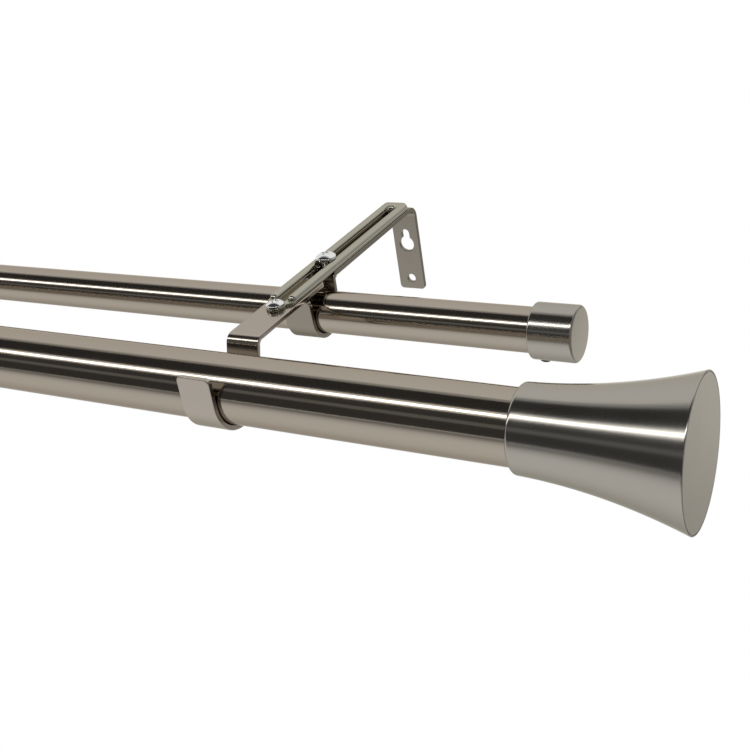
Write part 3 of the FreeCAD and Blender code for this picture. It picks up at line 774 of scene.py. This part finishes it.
class EndCaps(SubAssembly):
    """The rear pole's end caps."""

    RADIUS = 11.7
    LENGTH = 18.5
    FLOOR = 3.2
    BORE = 9.65
    RIM_X = 428.9
    RIM_ROUND = 0.9
    END_ROUND = 1.2
    BORE_ROUND = 0.25

    def build(self) -> None:
        """Makes both caps."""
        lay = self.layout
        for side in SIDES:
            place = self.end_matrix(side, self.RIM_X, -lay.rear_reach, lay.rear_height)
            bm = lathe(self._profile(), False, TURN_STEPS)
            self.add(f"end_cap_{side.name}", bm, place, self.finishes.turned, Body.WALL_SIDE)

    def _profile(self) -> list[Pair]:
        """The cap's profile from the middle of its closed end back to the floor's middle.

        Returns:
            Pairs of place and radius.
        """
        floor = self.LENGTH - self.FLOOR
        corners = [(self.LENGTH, 0.0, 0.0), (self.LENGTH, self.RADIUS, self.END_ROUND),
                   (0.0, self.RADIUS, self.RIM_ROUND), (0.0, self.BORE, self.BORE_ROUND),
                   (floor, self.BORE, 0.0), (floor, 0.0, 0.0)]
        return rounded(corners, 6)


class Brackets(SubAssembly):
    """The bent straps: wall brackets and front hooks."""

    WALL_STRAP = Strap(width=14.2)
    HOOK_STRAP = Strap(width=15.6)
    POLE_GAP = 0.3
    SCREW_HOLE = 2.2
    PLATE_END = 6.0
    PLATE_BEND = 5.0
    FIXING_HOLE = 2.25
    KEYHOLE_UP = 19.5
    KEYHOLE_RADIUS = 4.0
    KEYHOLE_NECK = 2.1
    KEYHOLE_RISE = 6.0
    REAR_SHOULDER = 11.2
    REAR_BEND = 2.8
    REAR_LIP = 9.5
    REAR_FLARE = 0.6
    FRONT_SHOULDER = 19.8
    FRONT_BEND = 3.4
    FRONT_LIP = 12.9
    TAB_PAST_POLE = 3.0
    TAB_CORNER = 3.5

    def build(self) -> None:
        """Makes the straps of both sides."""
        for side in SIDES:
            place = self.at_bracket(side, 0, 0)
            self.add(f"wall_bracket_{side.name}", self._wall_bracket(), place, self.finishes.bracket,
                     Body.WALL_SIDE)
            self.add(f"front_hook_{side.name}", self._front_hook(), place, self.finishes.strap,
                     Body.FRONT_SIDE)

    def _wall_bracket(self) -> BMesh:
        """Wall plate, arm and the hook under the rear pole.

        Returns:
            The mesh.
        """
        lay, strap = self.layout, self.WALL_STRAP
        rear, arm = -lay.rear_reach, lay.arm_top - strap.thick / 2
        hook = Poles.REAR.radius + self.POLE_GAP + strap.thick / 2
        foot, wall = self.PLATE_END, -strap.thick / 2
        stops = [Stop(wall, -lay.front_height - foot), Stop(wall, arm, self.PLATE_BEND),
                 Stop(rear + self.REAR_SHOULDER, arm, self.REAR_BEND),
                 Stop(rear, -lay.rear_drop, hook, Turn.RIGHT),
                 Stop(rear - hook - self.REAR_FLARE, self.REAR_LIP)]

        def holes(path: BentPath) -> list[Hole]:
            """The fixing hole, the keyhole and the rail screw's hole."""
            arm_start = path.runs[0].length + path.runs[1].length
            screw = arm_start + (path.runs[2].start.x + lay.front_reach - lay.rail_screw_behind)
            opening = keyhole(foot + self.KEYHOLE_UP, self.KEYHOLE_RADIUS, self.KEYHOLE_NECK,
                              self.KEYHOLE_RISE)
            return [round_hole(foot, self.FIXING_HOLE), opening, round_hole(screw, self.SCREW_HOLE)]

        return bent_strap(strap, stops, strap.corner, holes)

    def _front_hook(self) -> BMesh:
        """The hook under the front pole and the tab that carries the rail.

        Returns:
            The mesh.
        """
        lay, strap = self.layout, self.HOOK_STRAP
        front, tab = -lay.front_reach, lay.rail_seat - strap.thick / 2
        hook = Poles.FRONT.radius + self.POLE_GAP + strap.thick / 2
        stops = [Stop(front - hook, self.FRONT_LIP), Stop(front, 0.0, hook, Turn.LEFT),
                 Stop(front + self.FRONT_SHOULDER, tab, self.FRONT_BEND),
                 Stop(-lay.rear_reach + self.TAB_PAST_POLE, tab)]

        def holes(path: BentPath) -> list[Hole]:
            """The reach screw's hole."""
            tab_run = path.runs[-1]
            screw = path.length - tab_run.length + (front + lay.reach_screw_behind - tab_run.start.x)
            return [round_hole(screw, self.SCREW_HOLE)]

        return bent_strap(strap, stops, self.TAB_CORNER, holes)


class Rails(SubAssembly):
    """The pressed slotted rails."""

    HALF = 6.9
    THICK = 1.2
    CORNER = 3.0
    TONGUE = 4.2
    START = 2.0
    END = -6.0
    CREST = 3.4
    BEAD_NEAR = 2.5
    BEAD_FAR = 6.6
    BEAD_ROUND = 2.0
    BEAD_CORNER = 2.7
    BEAD_START = 4.9
    SLOT_START = 6.2
    TROUGH_END = -14.8
    SLOT_HALF = 2.2
    EDGE = 0.25
    SLOT_EDGE = 0.1
    FOOT_LAP = 0.08
    FOOT_RISE = 0.15
    FOLD = 0.2

    @property
    def screw(self) -> float:
        """Where the reach screw stands along Y."""
        return self.layout.reach_screw_behind - self.layout.front_reach

    def build(self) -> None:
        """Makes both rails."""
        for side in SIDES:
            place = self.at_bracket(side, 0, self.layout.rail_seat)
            self.add(f"slotted_rail_{side.name}", self._rail(), place, self.finishes.rail, Body.FRONT_SIDE)

    def _outline(self, inset: float) -> list[Pair]:
        """The plate's plan: round tongue, sloping shoulders and rounded rear corners.

        Args:
            inset: How far it is drawn inwards.

        Returns:
            Its points.
        """
        start, slope = self.screw + self.START, self.HALF - self.TONGUE
        size, knee = self.TONGUE - inset, inset * math.tan(math.radians(22.5))
        front = arc_points((0, self.screw), size, 180, 360, 24)
        right = [(size, start - knee), (self.HALF - inset, start + slope - knee)]
        centre = (self.HALF - self.CORNER, self.END - self.CORNER)
        right += arc_points(centre, self.CORNER - inset, 0, 90, 6)
        return front + right + [(-x, y) for x, y in reversed(right)]

    def _bead(self, inset: float) -> list[Pair]:
        """The bead's plan: two arms that meet round the trough's rear end.

        Args:
            inset: How far it is drawn inwards.

        Returns:
            Its points.
        """
        rear = self.END - (self.HALF - self.BEAD_FAR)
        nose, front = self.BEAD_ROUND, self.screw + self.BEAD_START + self.BEAD_ROUND
        centre = (self.BEAD_FAR - self.BEAD_CORNER, rear - self.BEAD_CORNER)
        right = (arc_points((self.BEAD_NEAR + nose, front), nose - inset, 180, 270, 5)
                 + arc_points((self.BEAD_FAR - nose, front), nose - inset, 270, 360, 5)
                 + arc_points(centre, self.BEAD_CORNER - inset, 0, 90, 6))
        left = [(-x, y) for x, y in reversed(right)]
        return right + left + arc_points((0, self.TROUGH_END), self.BEAD_NEAR + inset, 180, 0, 20)

    def _rail(self) -> BMesh:
        """The slotted plate with its tongue and the hollow bead round its trough.

        Returns:
            The mesh.
        """
        slot = slot_hole(self.screw + self.SLOT_START, self.TROUGH_END, self.SLOT_HALF)
        hole = round_hole(self.screw, self.SLOT_HALF)
        bm = bmesh.new()
        rims = [border(bm, shape, self.THICK, edge) for shape, edge in (
            (self._outline, self.EDGE), (slot.outline, self.SLOT_EDGE), (hole.outline, self.EDGE))]
        outer = [(-self.FOOT_LAP, self.THICK), (0.0, self.THICK + self.FOOT_RISE)]
        outer += [(self.BEAD_ROUND - across, self.CREST - self.BEAD_ROUND + up)
                  for across, up in arc_points((0, 0), self.BEAD_ROUND, 0, 90, 6)]
        inner = [(self.THICK - self.FOLD, 0.0), (self.THICK, self.FOLD),
                 (self.THICK, self.CREST - self.THICK)]
        skins = [self._skin(bm, shape) for shape in (outer, inner)]
        for level, skin in ((-1, skins[0]), (0, skins[1])):
            edges = [e for rings in rims for e in ring_edges(bm, rings[level])] + ring_edges(bm, skin)
            bmesh.ops.triangle_fill(bm, use_beauty=True, use_dissolve=False, edges=edges)
        settle(bm)
        return bm

    def _skin(self, bm: BMesh, shape: Sequence[Pair]) -> list[BMVert]:
        """One skin of the bead, closed at its crest.

        Args:
            bm: The mesh.
            shape: Insets and heights from the skin's foot to its crest.

        Returns:
            The ring at the skin's foot.
        """
        rings = [ring_verts(bm, self._bead(inset), height) for inset, height in shape]
        bridge(bm, rings)
        bmesh.ops.triangle_fill(bm, use_beauty=True, use_dissolve=False, edges=ring_edges(bm, rings[-1]))
        return rings[0]


@dataclass(frozen=True)
class Head:
    """A pan head's radius, upright side and height."""

    radius: float
    side: float
    top: float


class Fasteners(SubAssembly):
    """Clamp screws, their nuts and the set screws."""

    STEPS = 96
    SHANK = 2.0
    PITCH = 0.7
    THREAD = 0.3
    TIP_FADE = 0.5
    ROOT_FADE = 0.4
    FADE_DEPTH = 0.12
    TURN_RINGS = 8
    REACH_HEAD = Head(4.0, 0.9, 2.6)
    RAIL_HEAD = Head(4.7, 1.0, 2.9)
    RECESS_ARM = 2.1
    RECESS_HALF = 0.47
    RECESS_DEPTH = 1.3
    RECESS_SLOPE = 0.22
    RECESS_RISE = 0.55
    NUT_FLAT = 3.5
    NUT_HEIGHT = 3.2
    NUT_PLAY = 0.05
    NUT_FACE = 0.97
    NUT_SLOPE = 0.55
    CHAMFER = 0.3
    REACH_LENGTH = 8.0
    RAIL_LENGTH = 10.0
    SET_RADIUS = 2.5
    SET_GAP = 0.1
    SOCKET_DEPTH = 1.3
    FINIAL_AT = 10.0
    FINIAL_PROUD = 0.8
    CAP_AT = 3.6
    CAP_PROUD = 1.4

    def build(self) -> None:
        """Makes the screws and nuts of both sides."""
        lay, low = self.layout, -Brackets.HOOK_STRAP.thick - self.NUT_HEIGHT
        clamps = (("reach", lay.reach_screw_behind, self.REACH_HEAD, lay.rail_seat + Rails.THICK,
                   lay.rail_seat, self.REACH_LENGTH, Body.FRONT_SIDE),
                  ("rail", lay.rail_screw_behind, self.RAIL_HEAD,
                   lay.rail_seat + Rails.CREST + lay.slide_gap, lay.arm_top, self.RAIL_LENGTH,
                   Body.WALL_SIDE))
        ends = (("finial", lay.rim_x + self.FINIAL_AT, -lay.front_reach, lay.front_height,
                 Poles.FRONT.radius, Finials.NECK + self.FINIAL_PROUD, Body.FRONT_SIDE),
                ("cap", EndCaps.RIM_X + self.CAP_AT, -lay.rear_reach, lay.rear_height,
                 Poles.REAR.radius, EndCaps.RADIUS + self.CAP_PROUD, Body.WALL_SIDE))
        for side in SIDES:
            for name, behind, head, base, top, length, body in clamps:
                for kind, bm, up in (("screw", self._pan_head(head, length), base),
                                     ("nut", self._nut(), top + low)):
                    seat = self.at_bracket(side, behind - lay.front_reach, up)
                    self.add(f"{name}_{kind}_{side.name}", bm, seat, self.finishes.zinc, body, Slot.ZINC)
            for name, along, across, up, inner, outer, body in ends:
                seat = Matrix.Translation((side.sign * along, across, up))
                self.add(f"{name}_set_screw_{side.name}", self._set_screw(inner + self.SET_GAP, outer),
                         seat, self.finishes.black, body, Slot.BLACK)

    def _turn(self, rings: Sequence[Ring | Pair], bored: bool = False) -> BMesh:
        """A mesh about the upright through rings.

        Args:
            rings: The radius and height of each ring, or a function that gives them for an angle.
            bored: True where the last ring joins the first round a bore.

        Returns:
            The mesh, closed at both ends or joined round its bore.
        """
        bm = bmesh.new()
        angles = [math.tau * i / self.STEPS for i in range(self.STEPS)]
        made = []
        for ring in rings:
            spots = [(ring(a) if callable(ring) else ring, a) for a in angles]
            made.append([bm.verts.new((r * math.cos(a), r * math.sin(a), z)) for (r, z), a in spots])
        bridge(bm, made + made[:1] if bored else made)
        for ring in () if bored else (made[0], made[-1]):
            bm.faces.new(ring)
        settle(bm)
        return bm

    def _thread(self, start: float, end: float) -> list[Ring]:
        """Rings of a screw thread between two heights.

        Args:
            start: The height where the thread starts, at the tip.
            end: The height where it runs out.

        Returns:
            The rings from the tip upwards.
        """
        def ring(height: float) -> Ring:
            """The thread's ring at a height."""
            fade = min(1.0, (height - start) / self.TIP_FADE, (end - height) / self.ROOT_FADE)

            def spot(angle: float) -> Pair:
                """Its radius and height at an angle."""
                wave = abs(((height / self.PITCH + angle / math.tau) % 1.0) * 2 - 1)
                cut = self.THREAD * (1 - wave) + self.FADE_DEPTH * (1 - max(fade, 0.0))
                return self.SHANK - cut, height
            return spot
        count = int((end - start) / self.PITCH * self.TURN_RINGS)
        return [ring(start + (end - start) * i / count) for i in range(count + 1)]

    def _pan_head(self, head: Head, length: float) -> BMesh:
        """A machine screw with a domed head and a pressed cross recess, seated on height zero.

        Args:
            head: The head's sizes.
            length: The shank's length.

        Returns:
            The mesh.
        """
        rise = head.top - head.side
        dome = (head.radius ** 2 + rise ** 2) / (2 * rise)

        def top(radius: float) -> Ring:
            """The head's ring at a radius, over the dome and down into the recess."""
            def spot(angle: float) -> Pair:
                """Its radius and height at an angle."""
                height = head.top - dome + math.sqrt(dome ** 2 - radius ** 2)
                x, y = abs(radius * math.cos(angle)), abs(radius * math.sin(angle))
                inside = max(min(self.RECESS_HALF - y, self.RECESS_ARM - x),
                             min(self.RECESS_HALF - x, self.RECESS_ARM - y))
                wall = min(1.0, max(0.0, inside / self.RECESS_SLOPE))
                floor = self.RECESS_DEPTH * (1 - self.RECESS_RISE * (radius / self.RECESS_ARM) ** 2)
                return radius, height - max(floor, 0.0) * wall * wall * (3 - 2 * wall)
            return spot

        shank = [(self.SHANK - 0.35, -length)] + self._thread(-length + 0.1, -0.5)
        rim = head.radius
        under = [(self.SHANK, -0.3), (self.SHANK, 0.0), (rim - 0.15, 0.0), (rim, 0.15),
                 (rim, head.side - 0.12)]
        radii = [rim - 0.04, rim - 0.15, rim - 0.4, rim - 0.8, 2.9, 2.5]
        radii += [2.3 - 0.1 * i for i in range(23)]
        return self._turn(shank + under + [top(r) for r in radii])

    def _nut(self) -> BMesh:
        """A hexagon nut whose corners are chamfered on both faces, standing on height zero.

        Returns:
            The mesh.
        """
        bore, rim = self.SHANK + self.NUT_PLAY, self.NUT_FLAT * self.NUT_FACE

        def edge(base: float, sign: int) -> Ring:
            """The ring where the chamfer of one face meets the flats."""
            def spot(angle: float) -> Pair:
                """Its radius and height at an angle."""
                flank = self.NUT_FLAT / math.cos(angle % (math.pi / 3) - math.pi / 6)
                return flank, base + sign * (flank - rim) * self.NUT_SLOPE
            return spot

        cut, top = self.CHAMFER, self.NUT_HEIGHT
        rings = [(bore, cut), (bore + cut, 0.0), (rim, 0.0), edge(0.0, 1), edge(top, -1), (rim, top),
                 (bore + cut, top), (bore, top - cut)]
        return self._turn(rings, bored=True)

    def _set_screw(self, inner: float, outer: float) -> BMesh:
        """A headless screw below an axis, with a hexagon socket in its lower end.

        Args:
            inner: Distance of its tip from the axis.
            outer: Distance of its lower end from the axis.

        Returns:
            The mesh.
        """
        def socket(depth: float, size: float) -> Ring:
            """The socket's ring at a depth."""
            def spot(angle: float) -> Pair:
                """Its radius and height at an angle."""
                turn = (angle + math.pi / 6) % (math.pi / 3) - math.pi / 6
                return size / math.cos(turn), depth - outer
            return spot

        size, cut, deep = self.SET_RADIUS, self.CHAMFER, self.SOCKET_DEPTH
        return self._turn([socket(deep, 0.4), socket(deep, 1.2), socket(0.12, 1.25), socket(0.0, 1.4),
                           (size - cut, -outer), (size, cut - outer), (size, -inner - cut),
                           (size - cut, -inner)])


# The picture

@dataclass(frozen=True)
class Studio:
    """Floor, light and camera."""

    layout: Layout

    CAMERA_AT = (581.56, -470.65, 229.69)
    RIGHT = (0.863297, 0.479301, -0.158078)
    UP = (-0.079912, 0.439076, 0.894889)
    BACK = (0.49833, -0.759923, 0.417355)
    FOCAL_PIXELS = 1100.1
    MIDDLE = (339.8, 317.4)
    PIXELS = 750.0
    WHITE = "#FFFFFF"
    FLOOR_HALF = 6.0
    FLOOR_LOW = -0.6
    AWAY = 0.55
    NEAR = 0.9
    FAR = -1.3
    SCREENS = (("screen_rear", 0.45, (106, 114), (96, 104)),
               ("screen_above", 0.04, (73, 106), (58, 96)),
               ("strip_light", 6.3, (61.4, 67.1), (45.3, 51.8)),
               ("screen_front", 0.06, (34.3, 56), (28, 41)),
               ("screen_middle", 0.2, (23.8, 34.3), (20, 28)),
               ("screen_low", 0.06, (-3.5, 23.8), (-6, 20)))

    def build(self) -> None:
        """Sets the whole picture up."""
        self._world()
        self._floor()
        self._light()
        self._camera()

    def _world(self) -> None:
        """Even white surroundings, that the metal sees a little dimmer and dark on the right."""
        world = bpy.data.worlds.new("surroundings")
        world.use_nodes = True
        tree = world.node_tree
        right = self._fall(tree, "Generated", "X", (0.42, 0.8), (0.95, 0.3))
        tree.nodes["Background"].inputs["Color"].default_value = srgb(self.WHITE)
        tree.links.new(self._seen_white(tree, right), tree.nodes["Background"].inputs["Strength"])
        bpy.context.scene.world = world

    def _glowing(self, name: str, glow: float) -> Material:
        """A plain white glow, as of a lit cloth or a screen in its shade.

        Args:
            name: The material's name.
            glow: Its level of light.

        Returns:
            The material.
        """
        material = bare_material(name)
        shader = add_node(material.node_tree, "BsdfPrincipled", {
            "Base Color": srgb("#000000"), "Roughness": 1.0, "Specular IOR Level": 0.0,
            "Emission Color": srgb(self.WHITE), "Emission Strength": glow})
        add_node(material.node_tree, "OutputMaterial", {"Surface": shader.outputs["BSDF"]})
        return material

    def _floor(self) -> None:
        """A large pale floor below the object that glows instead of being lit; its glow is painted dimmer
        far in front, darker beneath the object as painted shade, brighter far behind it and darker towards
        the right.
        """
        material = bare_material("pale_floor")
        tree = material.node_tree
        level = self._fall(tree, "Object", "Y", (-3.4, -0.8), (0.3, 0.96))
        # Painted shade beneath the object, and more glow far behind it
        for span, levels in (((-0.6, 0.1), (0.0, -0.22)), ((0.5, 1.0), (0.0, 0.4))):
            part = self._fall(tree, "Object", "Y", span, levels)
            level = add_node(tree, "Math", {0: level, 1: part}, operation="ADD").outputs["Value"]
        # Painted shade towards the right
        side = self._fall(tree, "Object", "X", (0.7, 1.2), (1.0, 0.4))
        fall = add_node(tree, "Math", {0: level, 1: side}, operation="MULTIPLY")
        glow = add_node(tree, "Emission", {
            "Color": srgb(self.WHITE), "Strength": self._seen_white(tree, fall.outputs["Value"])})
        add_node(tree, "OutputMaterial", {"Surface": glow.outputs["Emission"]})
        half, low = self.FLOOR_HALF, self.FLOOR_LOW
        floor = self._panel("floor", [(-half, -half, low), (half, -half, low), (half, half, low),
                                      (-half, half, low)], material)

    def _fall(self, tree: NodeTree, kind: str, axis: str, span: Pair, levels: Pair) -> NodeSocket:
        """A soft step between two levels of light.

        Args:
            tree: The node tree.
            kind: The kind of coordinate.
            axis: Its axis.
            span: Where the step begins and ends.
            levels: The levels there.

        Returns:
            The level's socket.
        """
        place = add_node(tree, "TexCoord").outputs[kind]
        value = add_node(tree, "SeparateXYZ", {"Vector": place}).outputs[axis]
        return add_node(tree, "MapRange", {
            "Value": value, "From Min": span[0], "From Max": span[1], "To Min": levels[0],
            "To Max": levels[1]}, interpolation_type="SMOOTHSTEP").outputs["Result"]

    def _seen_white(self, tree: NodeTree, level: NodeSocket) -> NodeSocket:
        """A level of light for the metal that the camera itself sees as full white."""
        seen = add_node(tree, "LightPath").outputs["Is Camera Ray"]
        return add_node(tree, "Mix", {"Factor": seen, "A": level, "B": 1.0},
                        data_type="FLOAT").outputs["Result"]

    def _panel(self, name: str, corners: Sequence[Triple], material: Material) -> Object:
        """A flat panel.

        Args:
            name: Its name.
            corners: Its four corners in metres.
            material: Its material.

        Returns:
            The panel.
        """
        mesh = bpy.data.meshes.new(name)
        mesh.from_pydata(corners, [], [(0, 1, 2, 3)])
        mesh.materials.append(material)
        return link_object(name, mesh)

    def _light(self) -> None:
        """A long strip light between screens, above and in front of the poles.

        Each is given by its level of light and by its angles over the front pole's axis at its near
        and far end.
        """
        for name, level, near, far in self.SCREENS:
            corners = [self._around(along, angle) for along, angle in (
                (self.NEAR, near[0]), (self.NEAR, near[1]), (self.FAR, far[1]), (self.FAR, far[0]))]
            panel = self._panel(name, corners, self._glowing(name, level))
            panel.visible_camera = False
            panel.visible_shadow = False
            panel.visible_diffuse = False

    def _around(self, along: float, angle: float) -> Triple:
        """A point round the front pole's axis, by its angle over the front, in metres."""
        a = math.radians(angle)
        return (along, -self.layout.front_reach * MM - self.AWAY * math.cos(a),
                self.layout.front_height * MM + self.AWAY * math.sin(a))

    def _camera(self) -> None:
        """The camera at the photograph's angle."""
        data = bpy.data.cameras.new("camera")
        data.sensor_width = 36.0
        data.lens = self.FOCAL_PIXELS * 36.0 / self.PIXELS
        data.shift_x = (self.PIXELS / 2 - self.MIDDLE[0]) / self.PIXELS
        data.shift_y = (self.MIDDLE[1] - self.PIXELS / 2) / self.PIXELS
        data.clip_start = 0.01
        camera = link_object("camera", data)
        turn = Matrix((self.RIGHT, self.UP, self.BACK)).transposed().to_4x4()
        camera.matrix_world = Matrix.Translation(Vector(self.CAMERA_AT) * MM) @ turn
        bpy.context.scene.camera = camera
        bpy.context.scene.view_settings.view_transform = "Standard"


def main() -> None:
    """Builds every sub-assembly and the picture."""
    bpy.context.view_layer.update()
    layout, finishes = Layout(), Finishes()
    for kind in (Poles, Finials, EndCaps, Brackets, Rails, Fasteners):
        kind(layout, finishes).build()
    Studio(layout).build()


if __name__ == "__main__":
    main()
